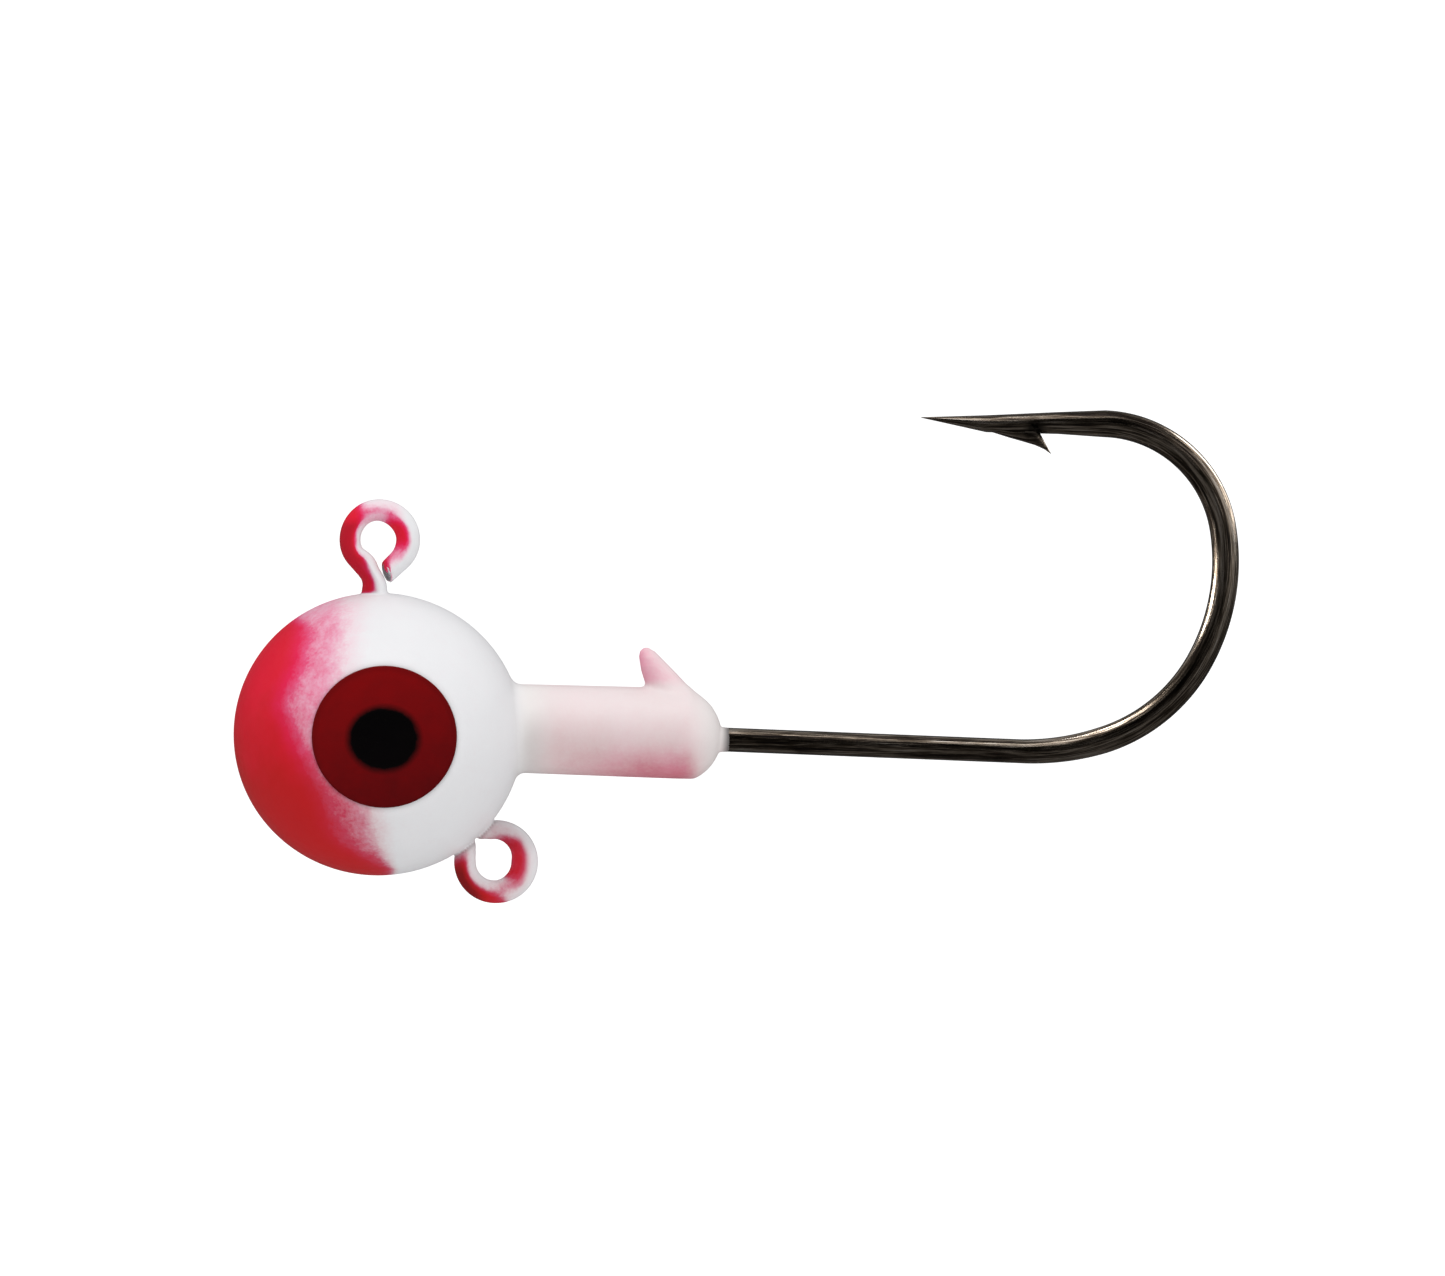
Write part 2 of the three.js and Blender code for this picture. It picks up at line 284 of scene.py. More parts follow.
def rise(value, low, high):
    """0 below low, 1 above high and smooth between."""
    share = np.clip((value - low) / (high - low), 0, 1)
    return share * share * (3 - 2 * share)


def early_path(spacing, *more_runs):
    """The line tie's path from a little before its sheared end, and any runs after it."""
    start = step(HOOK_START, -EARLY_START, 0)
    first = {"run": LINE_TIE_RUNS[0]["run"] + EARLY_START}
    return trace(start, EYE_SECTION, [first, *LINE_TIE_RUNS[1:], *more_runs], spacing)


def painted_line_tie_path():
    """The line tie as thick as its paint makes it. The paint is thickest on the rear of the ring,
    where it has run to the inside, and fills the crotch between ring and leg."""
    path = early_path(PATH_SPACING)
    offset = path[:, :2] - RING_MIDDLE
    on_ring = 1 - rise(path[:, 6], 5.4, 6.6)
    rear = rise(offset[:, 0], -0.6, 1.0) * on_ring
    tail = 1 - rise(path[:, 6], 0.9, 1.8)
    crotch = np.exp(-((path[:, 6] - 6.25) / 0.35) ** 2)
    path[:, 3] += 0.06 * on_ring + 0.055 * rear - 0.03 * tail + 0.06 * crotch
    path[:, 3] += 0.04 * (1 - on_ring)
    path[:, 4] += COAT
    path[:, 5] += on_ring * (-0.05 + 0.1 * rear) + 0.06 * crotch
    return path


def painted_stinger_path():
    """The stinger eye as thick as its paint makes it, thickest on the rear of its loop and
    thinnest on the loop's top, nearest the collar."""
    path = stinger_path(PATH_SPACING)
    offset = (path[:, :2] - STINGER_MIDDLE) / STINGER_LOOP_RADIUS
    on_loop = np.exp(-((np.linalg.norm(offset, axis=1) - 1) / 0.15) ** 2)
    half = 0.415 + 0.05 * offset[:, 0] * on_loop
    top = np.clip(offset[:, 1], 0, 1) * on_loop
    front = np.clip(-offset[:, 0], 0, 1) * on_loop
    rear = np.clip(offset[:, 0], 0, 1) * on_loop
    path[:, 3] = half - 0.07 * top + 0.03 * front + 0.02 * rear
    path[:, 4] += COAT
    path[:, 5] += (0.395 - half) * on_loop + 0.075 * top + 0.01 * front - 0.02 * rear
    return path


def smooth_least(a, b, blend):
    """The lesser of two fields, with a fillet where they meet."""
    share = np.clip(0.5 + 0.5 * (b - a) / blend, 0, 1)
    return b + (a - b) * share - blend * share * (1 - share)


def smooth_most(a, b, blend):
    """The greater of two fields, with a rounded edge where they meet."""
    return -smooth_least(-a, -b, blend)


def ball_field(p):
    """The ball, a little longer than it is high, with a flat on each side."""
    radii = np.where(p[:, 2:] < 0, BALL_RADII - (0, 0, THIN_BELOW), BALL_RADII)
    scaled = np.linalg.norm(p / radii, axis=1)
    slope = np.linalg.norm(p / radii ** 2, axis=1)
    ellipsoid = scaled * (scaled - 1) / np.maximum(slope, 1e-6)
    return smooth_most(ellipsoid, np.abs(p[:, 1]) - FLAT, FLAT_EDGE)


def collar_coordinates(p):
    """Distance along the collar's axis and height above it."""
    raised = p[:, 2] - COLLAR_AXIS_HEIGHT
    along = p[:, 0] * math.cos(COLLAR_LEAN) - raised * math.sin(COLLAR_LEAN)
    above = p[:, 0] * math.sin(COLLAR_LEAN) + raised * math.cos(COLLAR_LEAN)
    return along, above


def collar_field(p):
    """The collar, a little wider towards its rear, with a domed end that droops."""
    along, above = collar_coordinates(p)
    side = np.hypot(above, p[:, 1]) - COLLAR_FRONT_RADIUS - COLLAR_TAPER * (along - COLLAR_START)
    above += DOME_DROP * rise(along, DOME_CENTRE + 0.28, DOME_CENTRE + 0.78)
    across = np.hypot(above, p[:, 1])
    dome = np.hypot(np.maximum(along - DOME_CENTRE, 0), across) - DOME_RADIUS
    return np.maximum(smooth_most(side, dome, DOME_EDGE), COLLAR_START - along)


def keeper_field(p):
    """The keeper barb, an oval at each height that shrinks and moves forward towards its tip."""
    height = p[:, 2]
    front = np.interp(height, KEEPER_HEIGHT, KEEPER_FRONT)
    rear = np.interp(height, KEEPER_HEIGHT, KEEPER_REAR)
    half_width = np.interp(height, KEEPER_HEIGHT, KEEPER_HALF_WIDTH)
    half_length = (rear - front) / 2
    oval = np.hypot((p[:, 0] - (rear + front) / 2) / half_length, p[:, 1] / half_width)
    side = (oval - 1) * np.minimum(half_length, half_width)
    top = height - KEEPER_HEIGHT[-1] - COAT
    return np.maximum(smooth_most(side, top, KEEPER_TOP_EDGE), KEEPER_HEIGHT[0] - height)


def wire_field(p, path):
    """Distance to the outside of a wire along a path, from the nearest place on the path."""
    middle = centres(path)
    best = np.zeros(len(p), int)
    for low in range(0, len(p), 20000):
        some = p[low:low + 20000, None, ::2] - middle[None]
        best[low:low + 20000] = np.einsum("ijk,ijk->ij", some, some).argmin(1)
    in_plane = np.hypot(p[:, 0] - middle[best, 0], p[:, 2] - middle[best, 1])
    oval = np.hypot(in_plane / path[best, 3], p[:, 1] / path[best, 4])
    return (oval - 1) * path[best, 3:5].min(1)


def near(p, low, high):
    """Which points lie in a box."""
    return np.all((p > low) & (p < high), axis=1)


def beyond_cut(p, back):
    """Distance outwards from a plane that is `back` mm along the wire from its sheared end."""
    x, z, _ = HOOK_START
    return (p - np.array([x, 0, z])) @ CUT_NORMAL - back * (WIRE_INWARDS @ CUT_NORMAL)


def painted_line_tie(p):
    """The paint on the line tie. It stops just short of the sheared end of the wire, and fills
    the corner between that end and the leg."""
    travelled = LINE_TIE_PATH[:, 6]
    tail = wire_field(p, LINE_TIE_PATH[travelled < TAIL_END])
    tail = smooth_most(tail, beyond_cut(p, PAINT_STOP), PAINT_STOP_EDGE)
    leg = wire_field(p, LINE_TIE_PATH[travelled > LEG_START])
    between = (travelled > TAIL_END - OVERLAP) & (travelled < LEG_START + OVERLAP)
    ring = wire_field(p, LINE_TIE_PATH[between])
    return np.minimum(smooth_least(tail, leg, TAIL_TO_LEG), ring)


def shank_path():
    """The straight of the shank, out of the lead."""
    path = early_path(SHANK_SPACING, *SHANK_RUNS)
    return path[(path[:, 0] > 3) & (np.abs(path[:, 1]) < 1)]


def shank_creep(p):
    """Paint that has crept along the shank where it leaves the collar."""
    middle = centres(SHANK_PATH)
    height = np.interp(p[:, 0], middle[:, 0], middle[:, 1])
    radius = np.hypot(p[:, 2] - height, p[:, 1])
    fade = np.clip((p[:, 0] - CREEP_START) / (CREEP_END - CREEP_START), 0, 1)
    outside = radius - SHANK_SECTION[0] - CREEP_COAT + CREEP_THINNING * fade
    return np.maximum(outside, p[:, 0] - CREEP_END)


def painted_stinger(p):
    """The paint on the stinger eye."""
    return wire_field(p, STINGER_PATH)


LINE_TIE_PATH = painted_line_tie_path()
STINGER_PATH = painted_stinger_path()
SHANK_PATH = shank_path()

PAINT_BOX = np.array([(-5.6, -4.7, -6.6), (13.3, 4.7, 9.0)])
KEEPER_BOX = ((8.8, -1.5, 0.5), (12.6, 1.5, 3.6))

# Each wire's paint: its field, the corners of the box it lies in, and the fillet where it meets
# the rest.
WIRE_PAINTS = (
    (painted_line_tie, (-2.3, -1, 4.2), (2.4, 1, 9.2), 0.12),
    (painted_stinger, (1.8, -1, -6.8), (6.6, 1, -2.2), 0.04),
    (shank_creep, (12.0, -1, -1.2), (13.3, 1, 0.9), 0.1),
)


def paint_field(p):
    """Signed distance in mm to the outside of the paint, below zero inside. The mould's parting
    line is a faint ridge in the hook's plane."""
    lead = smooth_least(ball_field(p), collar_field(p), BALL_TO_COLLAR)
    close = near(p, *KEEPER_BOX)
    lead[close] = smooth_least(lead[close], keeper_field(p[close]), COLLAR_TO_KEEPER)
    field = lead - RIDGE_HEIGHT * np.exp(-(p[:, 1] / RIDGE_HALF_WIDTH) ** 2)
    for field_of, low, high, blend in WIRE_PAINTS:
        close = near(p, low, high)
        if close.any():
            field[close] = smooth_least(field[close], field_of(p[close]), blend)
    return field


def field_slope(p, reach=0.004):
    """Unit vectors square to the field's surface, pointing out."""
    slope = np.empty_like(p)
    for axis in range(3):
        offset = np.zeros(3)
        offset[axis] = reach
        slope[:, axis] = paint_field(p + offset) - paint_field(p - offset)
    return slope / np.maximum(np.linalg.norm(slope, axis=1, keepdims=True), 1e-9)


def paint_surface(voxel):
    """Points and quads on the paint's outside, moved exactly onto the field's zero."""
    low, high = PAINT_BOX
    counts = np.ceil((high - low) / voxel).astype(int)
    y, z = np.meshgrid(*(low[i] + voxel * np.arange(counts[i]) for i in (1, 2)), indexing="ij")
    values = np.empty(counts, np.float32)
    for i in range(counts[0]):
        x = np.full(y.size, low[0] + voxel * i)
        values[i] = paint_field(np.stack([x, y.ravel(), z.ravel()], 1)).reshape(y.shape)
    grid = openvdb.FloatGrid(1.0)
    grid.copyFromArray(values)
    points, quads = grid.convertToQuads(0.0)
    points = low + voxel * points.astype(float)
    for _ in range(3):
        points -= field_slope(points) * paint_field(points)[:, None]
    return points, quads


# ---------------------------------------------------------------------------------- mesh makers

def new_piece(name, points, faces, material, replaced=()):
    """A smooth mesh from points in mm round the ball's middle, riding on the part."""
    mesh = bpy.data.meshes.new(name)
    middle = np.array(BALL_MIDDLE)
    mesh.from_pydata((points * MM + middle).tolist(), [], [list(map(int, f)) for f in faces])
    mesh.update()
    mesh.shade_smooth()
    mesh.materials.append(material)
    piece = bpy.data.objects.new(name, mesh)
    bpy.context.scene.collection.objects.link(piece)
    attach(piece, "root")
    if replaced:
        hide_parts(*replaced)
    return piece


def add_attribute(piece, name, values):
    """A number for each point of a piece, which its material reads."""
    attribute = piece.data.attributes.new(name, "FLOAT", "POINT")
    attribute.data.foreach_set("value", np.asarray(values, np.float32))


# ------------------------------------------------------------------------------------ materials

def linear(red, green, blue):
    """A colour given in 0 to 255 as the eye sees it, for a shader."""
    def convert(value):
        value /= 255
        return value / 12.92 if value <= 0.04045 else ((value + 0.055) / 1.055) ** 2.4
    return (convert(red), convert(green), convert(blue), 1)


class Shader:
    """Short calls for building one material's nodes."""

    def __init__(self, name):
        self.material = bpy.data.materials.new(name)
        self.material.use_nodes = True
        self.nodes = self.material.node_tree.nodes
        self.links = self.material.node_tree.links
        self.surface = self.nodes["Principled BSDF"]

    def node(self, kind, inputs=None, **settings):
        made = self.nodes.new("ShaderNode" + kind)
        for name, value in settings.items():
            setattr(made, name, value)
        for name, value in (inputs or {}).items():
            self.feed(made.inputs[name], value)
        return made

    def feed(self, socket, value):
        if isinstance(value, bpy.types.NodeSocket):
            self.links.new(value, socket)
        else:
            socket.default_value = value

    def set(self, **inputs):
        for name, value in inputs.items():
            self.feed(self.surface.inputs[name.replace("_", " ")], value)

    def math(self, operation, a, b=0.0, c=0.0, clamp=False):
        made = self.node("Math", {0: a, 1: b, 2: c}, operation=operation, use_clamp=clamp)
        return made.outputs[0]

    def place(self):
        """Position in mm round the ball's middle."""
        coordinates = self.node("TexCoord").outputs["Object"]
        moved = self.node("VectorMath", {0: coordinates, 1: tuple(BALL_MIDDLE)}, operation="SUBTRACT")
        scaled = self.node("VectorMath", {0: moved.outputs[0], "Scale": 1 / MM}, operation="SCALE")
        return scaled.outputs[0]

    def attribute(self, name, output="Fac"):
        return self.node("Attribute", attribute_name=name).outputs[output]

    def noise(self, place, scale, detail=4.0, roughness=0.55, offset=0.0):
        if offset:
            place = self.node("VectorMath", {0: place, 1: (offset, offset, offset)}).outputs[0]
        inputs = {"Vector": place, "Scale": scale, "Detail": detail, "Roughness": roughness}
        return self.node("TexNoise", inputs).outputs["Fac"]

    def ramp(self, value, stops):
        """A colour for each value from stops of (position, colour)."""
        made = self.node("ValToRGB", {"Fac": value})
        elements = made.color_ramp.elements
        while len(elements) < len(stops):
            elements.new(0.5)
        for element, (position, colour) in zip(elements, stops):
            element.position = position
            element.color = colour
        return made.outputs["Color"]

    def span(self, value, low, high):
        """A value from 0 to 1 spread over low to high."""
        made = self.node("MapRange", {"Value": value, "To Min": low, "To Max": high})
        return made.outputs[0]

    def mix(self, share, a, b, blend="MIX"):
        made = self.node("Mix", data_type="RGBA", blend_type=blend)
        self.feed(made.inputs[0], share)
        self.feed(made.inputs[6], a)
        self.feed(made.inputs[7], b)
        return made.outputs[2]

    def bump(self, height, depth_mm, strength=1.0, below=None):
        inputs = {"Height": height, "Strength": strength, "Distance": depth_mm * MM}
        if below:
            inputs["Normal"] = below
        return self.node("Bump", inputs).outputs[0]


# Where the red ends on the side of the ball: height, X of the dense red's edge, X of the middle of
# the overspray's edge and half the width of that edge.
SPRAY_EDGE = np.array([
    (-4.8, 0.15, 0.45, 0.3),
    (-4.3, -0.75, 0.1, 0.5),
    (-3.8, -1.55, -0.25, 0.8),
    (-3.2, -1.9, -0.4, 1.0),
    (-2.6, -2.1, -0.6, 1.0),
    (-1.9, -2.4, -0.9, 1.1),
    (-1.2, -2.7, -1.4, 1.1),
    (0.4, -3.4, -1.8, 1.1),
    (1.2, -3.65, -1.7, 1.1),
    (1.9, -3.4, -1.5, 1.0),
    (2.6, -3.05, -1.45, 1.0),
    (3.2, -2.9, -1.4, 1.0),
    (3.9, -2.75, -1.2, 1.0),
    (4.3, -3.3, -1.15, 0.95),
    (4.7, -3.6, -1.0, 0.95),
])
DENSE_SOFTNESS = 0.68


def spray_on_ball(points):
    """The dense red, and the thinner overspray that reaches further back."""
    x, _, z = points.T
    columns = SPRAY_EDGE[:, 1:].T
    dense_edge, haze_edge, softness = (np.interp(z, SPRAY_EDGE[:, 0], column) for column in columns)
    dense = rise(dense_edge - x, -DENSE_SOFTNESS, DENSE_SOFTNESS)
    haze = 0.46 + 0.1 * rise(-z, 0.5, 2.5) - 0.1 * rise(z, 4.0, 4.8)
    haze *= rise(haze_edge - x, -softness, softness)
    return 1 - (1 - dense) * (1 - haze)


def spray_on_line_tie(points, normals):
    """Sprayed from the nose, so what faces it is red, thinner on the leg and over the ring."""
    x, _, z = points.T
    over_middle = z - RING_MIDDLE[1]
    on_leg = rise(-z, -6.5, -6.0)
    facing = -normals[:, 0] - 0.28 * x - 0.75 * np.abs(normals[:, 2]) - 0.38 * on_leg
    cover = rise(facing - 0.3 * rise(over_middle, 0.45, 1.0), -0.75, 0.05)
    over_ring = rise(over_middle, 0.4, 0.8) * rise(x, -0.95, -0.35) * (1 - rise(x, 0.1, 0.45))
    cover *= 1 - 0.62 * over_ring
    near_end = rise(x, 0.1, 0.5) * rise(-over_middle, -0.1, 0.55)
    cover *= 1 - 0.5 * near_end
    on_top = rise(over_middle, 0.2, 0.8) * (1 - rise(x, 0.5, 1.1)) * rise(-normals[:, 2], -1.6, 0.3)
    return 1 - (1 - cover) * (1 - 0.34 * on_top)


def spray_on_stinger(points, normals):
    """Sprayed from lower down than the line tie, more thinly on its rear, and pink all round."""
    past_middle, over_middle = points[:, 0] - STINGER_MIDDLE[0], points[:, 2] - STINGER_MIDDLE[1]
    rear = rise(past_middle, 0.3, 0.9)
    facing = -0.8 * normals[:, 0] - (0.55 - 0.3 * rear) * normals[:, 2]
    facing += 0.2 * rear - 0.1 * past_middle
    facing -= 0.3 * rise(past_middle, -0.1, 0.6) * rise(-over_middle, 0.8, 1.3)
    cover = rise(facing, -0.2, 0.36) * (1 - 0.25 * rise(past_middle, 0.2, 0.6))
    cover *= 1 - 0.35 * rear * rise(-normals[:, 0], 0.7, 1.0)
    cover *= 1 - 0.3 * rise(past_middle, -0.45, 0.1) * rise(-over_middle, 0.5, 1.0)
    cover *= 1 - rise(over_middle - 0.45 * past_middle, 0.3, 1.1)
    pink = 0.2 - 0.17 * rise(normals[:, 0], 0.0, 0.7) - 0.1 * rise(normals[:, 2], 0.2, 0.9)
    inside_bottom = rise(-over_middle, 0.5, 0.9) * rise(normals[:, 2], -0.5, 0.1)
    pink += 0.1 * rise(past_middle, -0.4, 0.2) * inside_bottom
    return pink + (1 - pink) * cover


def spray_on_collar(points, normals):
    """Pink that deepens along the underside and fades on the dome, and an even pink keeper."""
    along, _ = collar_coordinates(points)
    underside = rise(-normals[:, 2], 0.0, 1.0) * rise(along, 5.0, 11.0)
    cover = 0.09 + 0.09 * rise(-normals[:, 2], -0.8, 0.4) + 0.27 * underside
    cover *= rise(along, 5.1, 6.6)
    cover *= 1 - 0.85 * rise(along, 10.9, 12.1)
    on_keeper = rise(points[:, 2], 1.7, 2.1)
    keeper_pink = 0.27 - 0.13 * normals[:, 0]
    return cover * (1 - on_keeper) + keeper_pink * on_keeper


def spray_cover(points, normals):
    """How much red the airbrush laid on each point of the paint, from 0 to 1."""
    height = points[:, 2]
    on_wire = np.where(
        height > 0,
        spray_on_line_tie(points, normals),
        spray_on_stinger(points, normals) * (height < STINGER_TOP),
    )
    off_ball = rise(np.linalg.norm(points / BALL_RADII, axis=1), 1.0, 1.02)
    cover = spray_on_ball(points) * (1 - off_ball) + on_wire * off_ball
    along, _ = collar_coordinates(points)
    behind_ball = rise(along, 4.9, 5.5) * (height > STINGER_TOP)
    return cover * (1 - behind_ball) + spray_on_collar(points, normals) * behind_ball


def painted_shade_of_wires(points, normals):
    """Painted shade on the line tie and the stinger eye: on their fronts, and on the stinger eye's
    top and in its corner with the ball, which the ball shades."""
    x, _, z = points.T
    past_middle, over_middle = x - STINGER_MIDDLE[0], z - STINGER_MIDDLE[1]
    on_front = rise(-normals[:, 0], -0.2, 0.5) * rise(-past_middle, 0.2, 0.8)
    on_front *= 0.82 - 0.5 * rise(over_middle, -0.45, 0.1)
    on_top = 0.26 * rise(over_middle, 0.1, 0.9)
    from_middle = np.linalg.norm(points / BALL_RADII, axis=1)
    in_corner = 0.55 * rise(from_middle, 1.004, 1.012) * (1 - rise(from_middle, 1.015, 1.05))
    on_stinger = np.maximum(np.maximum(on_front, on_top), in_corner)
    on_line_tie = 0.48 * rise(-normals[:, 0], -0.55, 0.15) * rise(-x, -0.45, 0.1)
    on_line_tie *= 1 - rise(z, 7.45, 7.85)
    off_ball = rise(from_middle, 1.0, 1.01)
    return on_line_tie * off_ball, on_stinger * off_ball


def painted_shade_of_collar(points, normals):
    """Painted shade on the collar's lower side, most of all just behind the ball, in its shadow."""
    along, _ = collar_coordinates(points)
    low = rise(-normals[:, 2], -0.6, 0.2)
    painted_shade_amount = low * (0.09 - 0.075 * rise(-normals[:, 2], 0.1, 0.9))
    painted_shade_amount += 0.12 * low * np.exp(-((along - 5.5) / 0.45) ** 2)
    return painted_shade_amount * rise(along, 4.7, 5.5) * (1 - rise(along, 10.5, 11.5))


def painted_shade(points, normals):
    """How much painted shade darkens each point of the paint, from 0 to 1."""
    height = points[:, 2]
    on_line_tie, on_stinger = painted_shade_of_wires(points, normals)
    places = [height < STINGER_TOP, height < LINE_TIE_FOOT]
    return np.select(places, [on_stinger, painted_shade_of_collar(points, normals)], on_line_tie)


def paint_material():
    """Off-white paint under a red spray that is speckled at its edge. The red is pinker high up
    and darker and browner low down, where the darkening is painted shade."""
    s = Shader("airbrushed_paint")
    place = s.place()
    cover = s.attribute("spray")
    mottle = s.noise(place, 2.2, 5.0, 0.65)
    speckle = s.noise(place, 9.0, 3.0, 0.6, offset=31.0)
    texture = s.math("ADD", s.math("MULTIPLY", mottle, 0.6), s.math("MULTIPLY", speckle, 0.4))
    spread = s.math("SUBTRACT", texture, 0.5)
    edge = s.math("MULTIPLY", s.math("MULTIPLY", cover, s.math("SUBTRACT", 1.0, cover)), 4.0)
    amount = s.math("MULTIPLY_ADD", edge, 0.55, 0.1)
    amount = s.math("MULTIPLY", amount, s.attribute("speckling"))
    cover = s.math("ADD", cover, s.math("MULTIPLY", spread, amount), clamp=True)
    high_colour = s.ramp(cover, [
        (0.0, linear(236, 236, 238)),
        (0.2, linear(240, 217, 225)),
        (0.4, linear(238, 166, 191)),
        (0.6, linear(234, 86, 132)),
        (0.8, linear(234, 22, 80)),
        (1.0, linear(228, 8, 46)),
    ])
    # Painted shade: the lower ramp is darker, and takes over towards the bottom, with random clouds.
    low_colour = s.ramp(cover, [
        (0.0, linear(236, 236, 238)),
        (0.2, linear(228, 205, 209)),
        (0.4, linear(214, 138, 155)),
        (0.6, linear(206, 62, 90)),
        (0.8, linear(206, 22, 46)),
        (1.0, linear(203, 8, 18)),
    ])
    height = s.node("SeparateXYZ", {0: place}).outputs["Z"]
    cloud = s.span(s.noise(place, 0.5, 3.0, 0.6, offset=3.0), -0.6, 0.6)
    lowness = s.math("ADD", s.math("MULTIPLY", height, -0.3), s.math("ADD", cloud, 0.55), clamp=True)
    colour = s.mix(lowness, high_colour, low_colour)
    stain = s.noise(place, 0.55, 3.0, 0.6, offset=7.0)
    colour = s.mix(s.span(stain, 0.0, 0.12), colour, linear(196, 196, 200), "MULTIPLY")
    colour = s.mix(s.attribute("collar"), colour, linear(255, 250, 246), "MULTIPLY")
    # Painted shade on the wire eyes, in their corners with the ball and under the collar.
    colour = s.mix(s.attribute("painted_shade_amount"), colour, linear(150, 144, 144), "MULTIPLY")
    colour = s.mix(s.attribute("thin"), colour, linear(72, 70, 70))
    orange_peel = s.noise(place, 3.2, 2.0, 0.5, offset=17.0)
    bump = s.bump(orange_peel, 0.012, 0.5)
    bump = s.bump(speckle, 0.003, 0.4, below=bump)
    s.set(Base_Color=colour, Roughness=s.span(mottle, 0.36, 0.5), Normal=bump)
    s.set(Specular_IOR_Level=0.22)
    return s.material


def nickel_material():
    """Black nickel whose dark and light bands along the wire are fine drawing marks and partly
    painted reflections, with painted shade in the barb's chisel notch, and bare on the sheared end."""
    s = Shader("black_nickel")
    round_wire = s.attribute("round_wire", "Vector")
    streak_and_sheen = s.noise(round_wire, 3.0, 6.0, 0.7)
    fine = s.noise(round_wire, 14.0, 3.0, 0.6, offset=9.0)
    patch = s.noise(s.place(), 1.3, 4.0, 0.6)
    tone = s.math("ADD", s.math("MULTIPLY", streak_and_sheen, 0.6), s.math("MULTIPLY", fine, 0.4))
    # The bands are drawing marks and partly painted reflections of the studio in the metal.
    colour = s.ramp(tone, [
        (0.42, (0.006, 0.005, 0.004, 1)),
        (0.49, (0.07, 0.052, 0.034, 1)),
        (0.56, (0.36, 0.3, 0.24, 1)),
        (0.66, (0.68, 0.64, 0.6, 1)),
    ])
    colour = s.mix(s.span(patch, 0.0, 0.3), colour, (0.05, 0.04, 0.042, 1))
    # Painted shade in the barb's chisel notch, darkest round its middle.
    from_notch = s.node("VectorMath", {0: s.place(), 1: NOTCH_SHADE_MIDDLE}, operation="DISTANCE")
    reach = {"Value": from_notch.outputs["Value"], "From Min": 0.5, "From Max": 0.25}
    notch_painted_shade = s.node("MapRange", reach).outputs[0]
    colour = s.mix(s.math("MULTIPLY", notch_painted_shade, 0.85), colour, (0.004, 0.004, 0.004, 1))
    sheared = s.attribute("sheared")
    bare_steel = s.ramp(patch, [(0.4, linear(150, 150, 154)), (0.6, linear(215, 215, 218))])
    colour = s.mix(sheared, colour, bare_steel)
    metallic = s.math("MULTIPLY_ADD", sheared, -0.8, 1.0)
    s.set(Base_Color=colour, Metallic=metallic, Roughness=s.span(fine, 0.14, 0.3))
    s.set(Normal=s.bump(streak_and_sheen, 0.014, 0.7))
    return s.material


def enamel_material(name, upper, lower, rim, bled=None):
    """Enamel that is darker towards its lower rear, as painted shade, and darker at its rim. The
    pupil's black has bled into the iris between two distances from its middle, counted in radii
    of the oval pupil."""
    s = Shader(name)
    place = s.place()
    axes = s.node("SeparateXYZ", {0: place}).outputs
    # Painted shade: darker towards the lower rear.
    down = s.math("SUBTRACT", s.math("MULTIPLY", axes["X"], 0.03), s.math("MULTIPLY", axes["Z"], 0.14))
    cloud = s.noise(place, 1.6, 4.0, 0.6)
    share = s.math("ADD", s.math("ADD", down, 0.42), s.span(cloud, -0.2, 0.2), clamp=True)
    colour = s.mix(share, upper, lower)
    flat = s.node("CombineXYZ", {0: axes["X"], 1: axes["Z"]}).outputs[0]
    from_middle = s.node("VectorMath", {0: flat}, operation="LENGTH").outputs["Value"]
    outer = s.node("MapRange", {"Value": from_middle, "From Min": rim - 0.25, "From Max": rim})
    colour = s.mix(s.math("MULTIPLY", outer.outputs[0], 0.35), colour, lower)
    if bled:
        reach = s.attribute("pupil_reach")
        fade = s.node("MapRange", {"Value": reach, "From Min": bled[1], "From Max": bled[0]})
        blots = s.span(s.noise(place, 5.0, offset=2.0), 0.75, 1.25)
        ragged = s.math("MULTIPLY", fade.outputs[0], blots, clamp=True)
        colour = s.mix(ragged, colour, linear(8, 3, 4))
    fine = s.noise(place, 9.0, 3.0, 0.6, offset=5.0)
    s.set(Base_Color=colour, Roughness=s.span(cloud, 0.3, 0.45), Normal=s.bump(fine, 0.003, 0.4))
    s.set(Specular_IOR_Level=0.07)
    return s.material


def metal_material(name, dark, light, roughness):
    """Plain cast or drawn metal with a mottled surface."""
    s = Shader(name)
    place = s.place()
    grain = s.noise(place, 2.0, 6.0, 0.65)
    colour = s.mix(grain, dark, light)
    s.set(Base_Color=colour, Metallic=0.85, Normal=s.bump(grain, 0.02, 0.5))
    s.set(Roughness=s.span(grain, roughness, roughness + 0.2))
    return s.material


# --------------------------------------------------------------------------------------- pieces

def vertex_normals(points, quads):
    """Unit normals of the points, as the mean of the faces round each."""
    normals = np.zeros_like(points)
    corners = [points[quads[:, i]] for i in range(4)]
    face_normals = np.cross(corners[2] - corners[0], corners[3] - corners[1])
    for i in range(4):
        np.add.at(normals, quads[:, i], face_normals)
    return normals / np.maximum(np.linalg.norm(normals, axis=1, keepdims=True), 1e-12)


